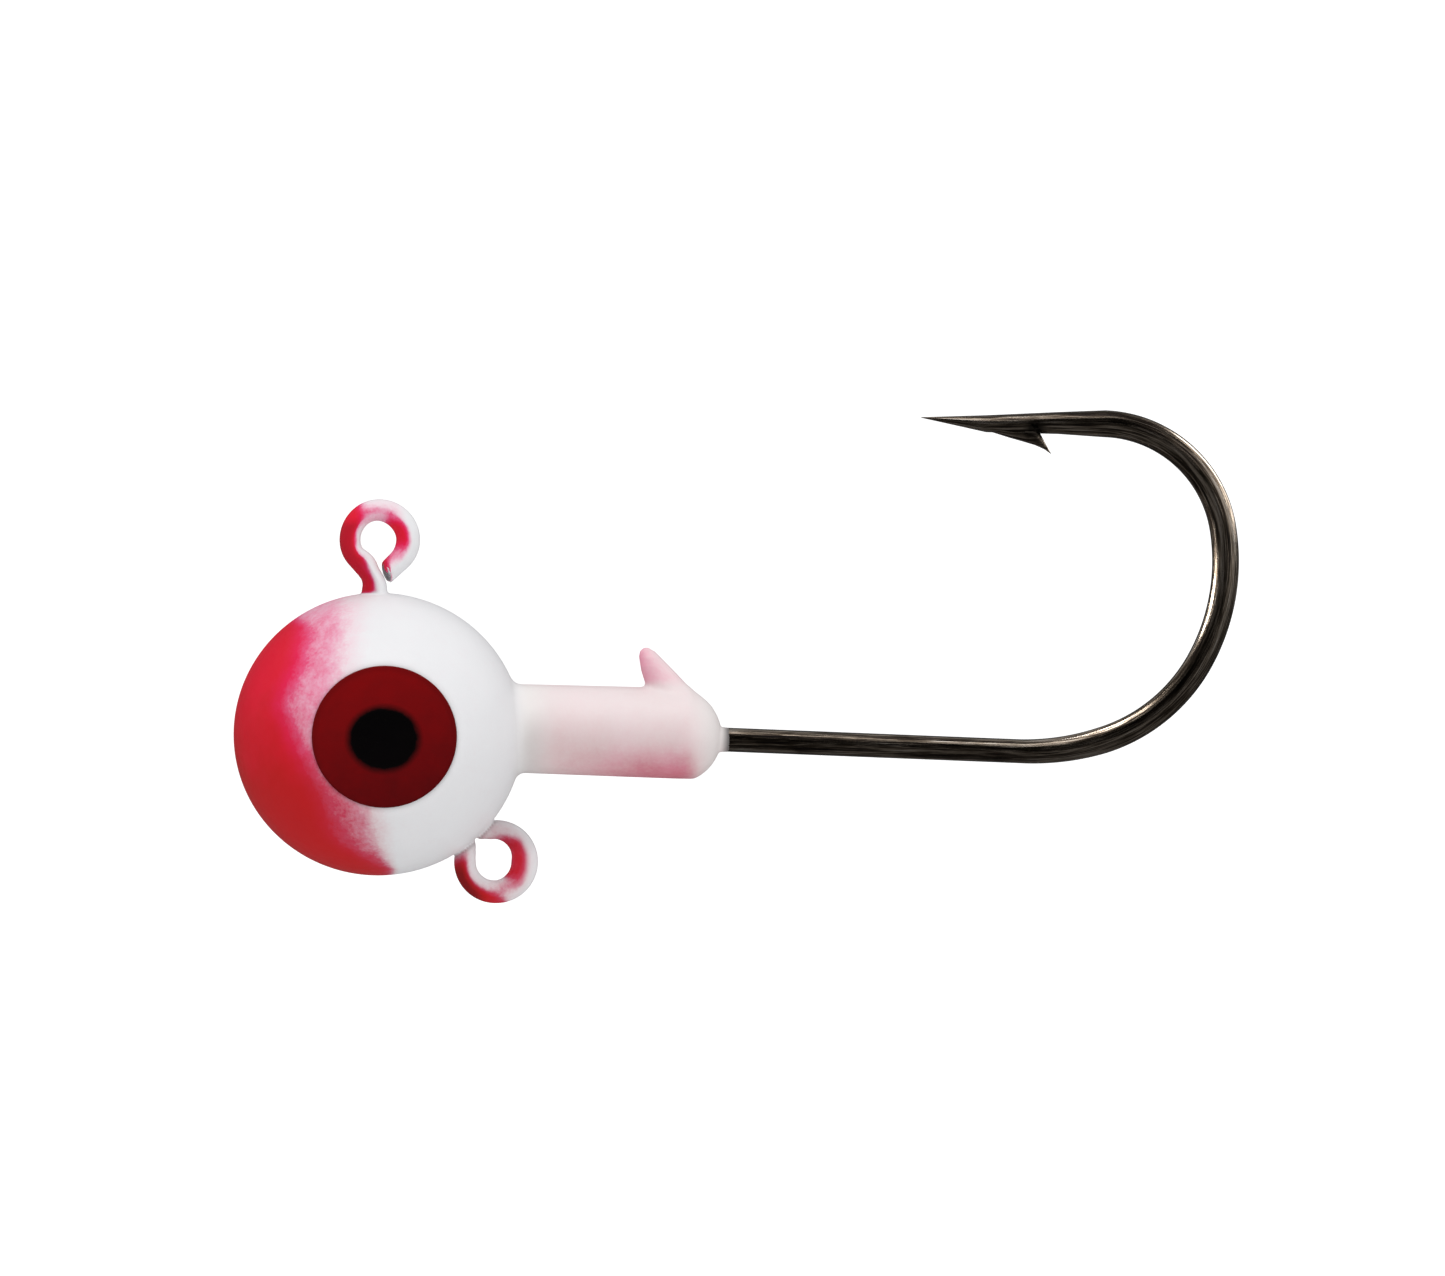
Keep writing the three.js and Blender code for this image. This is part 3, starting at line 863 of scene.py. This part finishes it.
def make_paint():
    """The paint over ball, collar, keeper barb and both wire eyes, as one shell."""
    points, quads = paint_surface(PAINT_VOXEL)
    piece = new_piece("paint_shell", points, quads, paint_material(), ["powder_coat"])
    normals = vertex_normals(points, quads)
    add_attribute(piece, "spray", spray_cover(points, normals))
    # How much painted shade darkens each point.
    add_attribute(piece, "painted_shade_amount", painted_shade(points, normals))
    behind_ball = rise(points[:, 0], 4.6, 5.4)
    add_attribute(piece, "collar", behind_ball * (points[:, 2] > STINGER_TOP))
    add_attribute(piece, "speckling", 1 - 0.65 * behind_ball)
    add_attribute(piece, "thin", 0.9 * rise(points[:, 0], CREEP_START, CREEP_END - 0.12))


def sweep(path, sides):
    """Points and faces of a closed wire along a path."""
    middle = centres(path)
    heading = np.radians(path[:, 2])
    across = np.stack([-np.sin(heading), np.zeros(len(path)), np.cos(heading)], 1)
    angle = 2 * np.pi * np.arange(sides) / sides
    rings = np.zeros((len(path), sides, 3))
    rings[:, :, 0] = middle[:, None, 0]
    rings[:, :, 2] = middle[:, None, 1]
    rings += across[:, None] * (path[:, 3, None] * np.cos(angle))[:, :, None]
    rings[:, :, 1] -= path[:, 4, None] * np.sin(angle)
    faces = []
    for i in range(len(path) - 1):
        for k in range(sides):
            a, b = i * sides + k, i * sides + (k + 1) % sides
            faces.append((a, b, b + sides, a + sides))
    last = (len(path) - 1) * sides
    faces.append(tuple(range(sides - 1, -1, -1)))
    faces.append(tuple(range(last, last + sides)))
    return rings.reshape(-1, 3), faces


def loose_mesh(points, faces):
    """A temporary object in mm, for cutting and joining."""
    mesh = bpy.data.meshes.new("tool")
    mesh.from_pydata(points.tolist(), [], [list(map(int, f)) for f in faces])
    mesh.update()
    tool = bpy.data.objects.new("tool", mesh)
    bpy.context.scene.collection.objects.link(tool)
    return tool


def combined(base, *steps):
    """Points and faces of base after joining or cutting with each (operation, tool) in turn."""
    for operation, tool in steps:
        modifier = base.modifiers.new(tool.name, "BOOLEAN")
        modifier.operation, modifier.object, modifier.solver = operation, tool, "EXACT"
    bpy.context.view_layer.update()
    made = base.evaluated_get(bpy.context.evaluated_depsgraph_get()).to_mesh()
    points = np.array([v.co for v in made.vertices])
    faces = [tuple(f.vertices) for f in made.polygons]
    for used in (base, *(tool for _, tool in steps)):
        bpy.data.objects.remove(used)
    return points, faces


def barb_path():
    """Rows for the barb's sections, as a wire path that keeps its sections upright."""
    rows = np.zeros((len(BARB), 7))
    rows[:, [0, 1, 3, 4]] = BARB
    rows[:, 6] = BARB[:, 0]
    return rows


def prism(outline, low, high):
    """A straight-sided solid that reaches from low to high across the hook's plane."""
    count = len(outline)
    points = np.array([(x, side, z) for side in (low, high) for x, z in outline])
    faces = [(i, (i + 1) % count, (i + 1) % count + count, i + count) for i in range(count)]
    faces += [tuple(range(count - 1, -1, -1)), tuple(range(count, 2 * count))]
    return points, faces


def hook_path():
    """The whole hook. The first two rows are for the bevel and rim of its sheared end, and take
    the place of the rows that the slanting cut removes."""
    runs = [*LINE_TIE_RUNS, *SHANK_RUNS, *BEND_RUNS, *POINT_RUNS]
    path = trace(HOOK_START, EYE_SECTION, runs, HOOK_SPACING)
    rim, bevel = path[:1], path[:1].copy()
    bevel[:, 3:5] *= BEVEL_SHARE
    return np.concatenate([bevel, rim, path[path[:, 6] > SHEAR_REACH]])


def shear_end(points):
    """Slides the first two rings along the wire onto the plane of its sheared end."""
    bevel, rim = slice(0, WIRE_SIDES), slice(WIRE_SIDES, 2 * WIRE_SIDES)
    for ring, back in ((bevel, 0), (rim, BEVEL_DEPTH)):
        reach = -beyond_cut(points[ring], back) / (WIRE_INWARDS @ CUT_NORMAL)
        points[ring] += reach[:, None] * WIRE_INWARDS


def round_wire_coordinates(points, path):
    """Directions round the wire, with distance along it much reduced, for streaks along it."""
    middle = centres(path)
    gap = points[:, None, ::2] - middle[None]
    nearest = np.einsum("ijk,ijk->ij", gap, gap).argmin(1)
    heading = np.radians(path[nearest, 2])
    inward = (points[:, 2] - middle[nearest, 1]) * np.cos(heading)
    inward -= (points[:, 0] - middle[nearest, 0]) * np.sin(heading)
    angle = np.arctan2(inward, -points[:, 1])
    return np.stack([np.cos(angle), np.sin(angle), path[nearest, 6] * 0.06], 1)


def make_hook():
    """The hook in one piece with its barb, which has a chisel notch on each side."""
    path = hook_path()
    points, faces = sweep(path, WIRE_SIDES)
    shear_end(points)
    wire = loose_mesh(points, faces)
    barb = loose_mesh(*sweep(barb_path(), 20))
    left_notch = loose_mesh(*prism(CHISEL_NOTCH, -1, -NOTCH_WEB))
    right_notch = loose_mesh(*prism(CHISEL_NOTCH, NOTCH_WEB, 1))
    cuts = [("DIFFERENCE", left_notch), ("DIFFERENCE", right_notch)]
    points, faces = combined(wire, ("UNION", barb), *cuts)
    piece = new_piece("hook_wire", points, faces, nickel_material(), ["jig_hook"])
    piece.data.set_sharp_from_angle(angle=math.radians(38))
    attribute = piece.data.attributes.new("round_wire", "FLOAT_VECTOR", "POINT")
    values = round_wire_coordinates(points, path)
    attribute.data.foreach_set("vector", values.astype(np.float32).ravel())
    at_start = np.linalg.norm(points - (HOOK_START[0], 0, HOOK_START[1]), axis=1) < 1
    add_attribute(piece, "sheared", at_start * rise(beyond_cut(points, 0), -0.02, -0.005))


def lathe(profile, side, sides=96):
    """Points and faces of a solid turned about the eye's axis. The profile runs out from the axis
    and back to it, as distance from the axis and distance from the hook's plane."""
    angle = 2 * np.pi * np.arange(sides) / sides
    first, *between, final = profile
    rings = [(r * np.cos(angle), np.full(sides, side * y), r * np.sin(angle)) for r, y in between]
    points = [(0, side * first[1], 0), *np.array(rings).transpose(0, 2, 1).reshape(-1, 3)]
    points.append((0, side * final[1], 0))
    faces = []
    for k in range(sides):
        nxt = (k + 1) % sides
        faces.append((0, 1 + nxt, 1 + k))
        for ring in range(len(rings) - 1):
            a = 1 + ring * sides
            faces.append((a + k, a + nxt, a + sides + nxt, a + sides + k))
        last = 1 + (len(rings) - 1) * sides
        faces.append((last + k, last + nxt, len(points) - 1))
    if side > 0:
        faces = [face[::-1] for face in faces]
    return np.array(points), faces


def domed_disc(radius, back, front, dome, corner):
    """Profile of a disc with a rounded edge and a slightly domed outer face."""
    profile = [(0, back), (radius - corner, back)]
    for i in range(7):
        angle = math.radians(90 * i / 6)
        across = radius - corner + corner * math.cos(angle)
        profile.append((across, front - corner + corner * math.sin(angle)))
    for share in np.linspace(0.97, 0.05, 14):
        across = (radius - corner) * share
        profile.append((across, front + dome * (1 - share ** 2)))
    return [*profile, (0, front + dome)]


def make_eyes():
    """The fish eyes, an iris and a pupil on each side."""
    # The iris's upper colour and its darker lower colour, which is painted shade.
    upper, lower = linear(127, 4, 7), linear(70, 1, 4)
    iris = enamel_material("iris_enamel", upper, lower, IRIS_RADIUS, bled=(1.0, 1.24))
    pupil = enamel_material("pupil_enamel", linear(3, 3, 4), linear(8, 3, 4), PUPIL_RADIUS)
    iris_profile = domed_disc(IRIS_RADIUS, IRIS_BACK - 0.02, IRIS_FRONT, 0.015, 0.06)
    pupil_profile = domed_disc(PUPIL_RADIUS, PUPIL_BACK, IRIS_FRONT + 0.012, 0.02, 0.012)
    raised = np.array([0, 0, EYE_RISE])
    for name, side in (("left", -1), ("right", 1)):
        points, faces = lathe(iris_profile, side)
        points *= IRIS_OVAL
        piece = new_piece(f"iris_{name}", points + raised, faces, iris, [f"{name}_iris"])
        reach = np.hypot(*((points - PUPIL_SHIFT) / PUPIL_OVAL)[:, ::2].T) / PUPIL_RADIUS
        add_attribute(piece, "pupil_reach", reach)
        points, faces = lathe(pupil_profile, side)
        points = points * PUPIL_OVAL + PUPIL_SHIFT + raised
        new_piece(f"pupil_{name}", points, faces, pupil, [f"{name}_pupil"])


def make_stinger():
    """The wire of the stinger eye, under the paint."""
    path = painted_stinger_path()[::4]
    path[:, 3:5] -= COAT
    points, faces = sweep(path, WIRE_SIDES)
    wire = metal_material("tinned_wire", linear(120, 121, 124), linear(190, 190, 192), 0.25)
    new_piece("stinger_wire", points, faces, wire, ["stinger_eye"])


def finish_lead():
    """The lead stays as the frame has it, under the paint."""
    lead = metal_material("cast_lead", linear(92, 95, 100), linear(140, 143, 148), 0.5)
    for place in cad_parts["head_casting"].material_slots:
        place.material = lead


make_paint()
make_hook()
make_eyes()
make_stinger()
finish_lead()


# --------------------------------------------------------------------------------------- studio

LENGTH = cad_high.x - cad_low.x
MIDDLE = (cad_low + cad_high) / 2
WORLD_LIGHT = 0.74
FLOOR_GLOW = 0.6

# The floor's measures, and the camera's distance, width of view and aim, in lengths of the part.
FLOOR_DROP = 0.7
FLOOR_FRONT = 60
FLOOR_HALF_WIDTH = 60
WALL = 40
WALL_BEND = 12
CAMERA_DISTANCE = 14
VIEW_WIDTH = 1.4348
CAMERA_AIM = Vector((-0.0150, 0, 0.0182))
CAMERA_AZIMUTH = math.radians(-4.2)
CAMERA_ELEVATION = math.radians(1.7)
CAMERA_ROLL = math.radians(0.17)


def make_floor():
    """A pale sweep: a floor well below the part that curves up into a wall far behind it."""
    s = Shader("pale_floor")
    grain = s.noise(s.place(), 0.05, 3.0)
    rays = s.node("LightPath").outputs
    white = s.mix(grain, (0.8, 0.8, 0.8, 1), (0.82, 0.82, 0.82, 1))
    s.set(Base_Color=s.mix(rays["Is Glossy Ray"], white, (0.13, 0.13, 0.13, 1)), Roughness=0.9)
    glow = s.math("MULTIPLY", rays["Is Camera Ray"], FLOOR_GLOW)
    s.set(Emission_Color=(1, 1, 1, 1), Emission_Strength=glow)
    level = cad_low.z - FLOOR_DROP * LENGTH
    wall, bend, half_width = WALL * LENGTH, WALL_BEND * LENGTH, FLOOR_HALF_WIDTH * LENGTH
    line = [(-FLOOR_FRONT * LENGTH, level)]
    for angle in np.radians(np.linspace(0, 90, 13)):
        line.append((wall - bend + bend * math.sin(angle), level + bend - bend * math.cos(angle)))
    line.append((wall, level + wall))
    points = [(side * half_width, y, z) for y, z in line for side in (-1, 1)]
    faces = [(2 * i, 2 * i + 1, 2 * i + 3, 2 * i + 2) for i in range(len(line) - 1)]
    mesh = bpy.data.meshes.new("floor")
    mesh.from_pydata(points, [], faces)
    mesh.shade_smooth()
    mesh.materials.append(s.material)
    floor = bpy.data.objects.new("floor", mesh)
    bpy.context.scene.collection.objects.link(floor)


def make_world():
    """Even white light on everything, but bright metal mirrors a room that is dark behind the
    camera and below, and bright behind the part."""
    world = bpy.data.worlds.new("studio")
    bpy.context.scene.world = world
    world.use_nodes = True
    nodes, links = world.node_tree.nodes, world.node_tree.links

    def node(kind, *inputs, **settings):
        made = nodes.new("ShaderNode" + kind)
        for name, value in settings.items():
            setattr(made, name, value)
        for socket, value in zip(made.inputs, inputs):
            if isinstance(value, bpy.types.NodeSocket):
                links.new(value, socket)
            else:
                socket.default_value = value
        return made.outputs

    direction = node("SeparateXYZ", node("TexCoord")["Generated"])
    smooth = {"interpolation_type": "SMOOTHSTEP"}
    beside = node("MapRange", direction["Y"], -0.85, -0.2, 0.008, 0.3, **smooth)[0]
    behind = node("MapRange", direction["Y"], 0.0, 0.9, 1.0, 2.6, **smooth)[0]
    above = node("MapRange", direction["Z"], -0.5, 0.7, 0.45, 1.0, **smooth)[0]
    sides = node("Math", beside, behind, operation="MULTIPLY")[0]
    mirrored = node("Math", sides, above, operation="MULTIPLY")[0]
    rays = node("LightPath")
    lit = node("Math", rays["Is Camera Ray"], 1 - WORLD_LIGHT, WORLD_LIGHT, operation="MULTIPLY_ADD")[0]
    change = node("Math", mirrored, lit, operation="SUBTRACT")[0]
    strength = node("Math", rays["Is Glossy Ray"], change, lit, operation="MULTIPLY_ADD")[0]
    links.new(strength, nodes["Background"].inputs["Strength"])
    nodes["Background"].inputs["Color"].default_value = (1, 1, 1, 1)


def add_softbox(name, offset, size, power, only=None):
    """A square area light that faces the part, or only one collection of its pieces."""
    light = bpy.data.lights.new(name, "AREA")
    light.energy, light.size = power, size
    lamp = bpy.data.objects.new(name, light)
    lamp.location = MIDDLE + Vector(offset)
    lamp.rotation_euler = (-Vector(offset)).to_track_quat("-Z", "Y").to_euler()
    lamp.light_linking.receiver_collection = only
    bpy.context.scene.collection.objects.link(lamp)


def add_camera():
    """A long lens from a little in front of the side and a little above."""
    camera = bpy.data.cameras.new("camera")
    camera.sensor_width = 36
    camera.lens = camera.sensor_width * CAMERA_DISTANCE / VIEW_WIDTH
    camera.clip_start, camera.clip_end = 0.01, 20
    holder = bpy.data.objects.new("camera", camera)
    level_reach = math.cos(CAMERA_ELEVATION)
    back = Vector((
        math.sin(CAMERA_AZIMUTH) * level_reach,
        -math.cos(CAMERA_AZIMUTH) * level_reach,
        math.sin(CAMERA_ELEVATION),
    ))
    holder.location = MIDDLE + (CAMERA_AIM + back * CAMERA_DISTANCE) * LENGTH
    roll = Quaternion((0, 0, 1), CAMERA_ROLL)
    holder.rotation_euler = ((-back).to_track_quat("-Z", "Y") @ roll).to_euler()
    bpy.context.scene.collection.objects.link(holder)
    bpy.context.scene.camera = holder


make_floor()
make_world()

# The glints light only the hook's bare metal. Each softbox has its offset from the part's middle
# and its size in metres, and its power in watts.
bare_metal = bpy.data.collections.new("bare_metal")
bare_metal.objects.link(bpy.data.objects["hook_wire"])
add_softbox("key", (-0.1, -0.22, 0.5), 0.38, 1.0)
add_softbox("fill", (0.42, -0.4, 0.12), 0.5, 0.6)
add_softbox("upper_bend_glint", (0.46, 0.1, 0.26), 0.4, 3.6, bare_metal)
add_softbox("lower_bend_glint", (-0.5, -0.06, 0.08), 0.2, 5.0, bare_metal)
add_softbox("top_glint", (-0.2, -0.08, 0.5), 0.2, 2.5, bare_metal)
add_camera()
bpy.context.scene.view_settings.view_transform = "Standard"
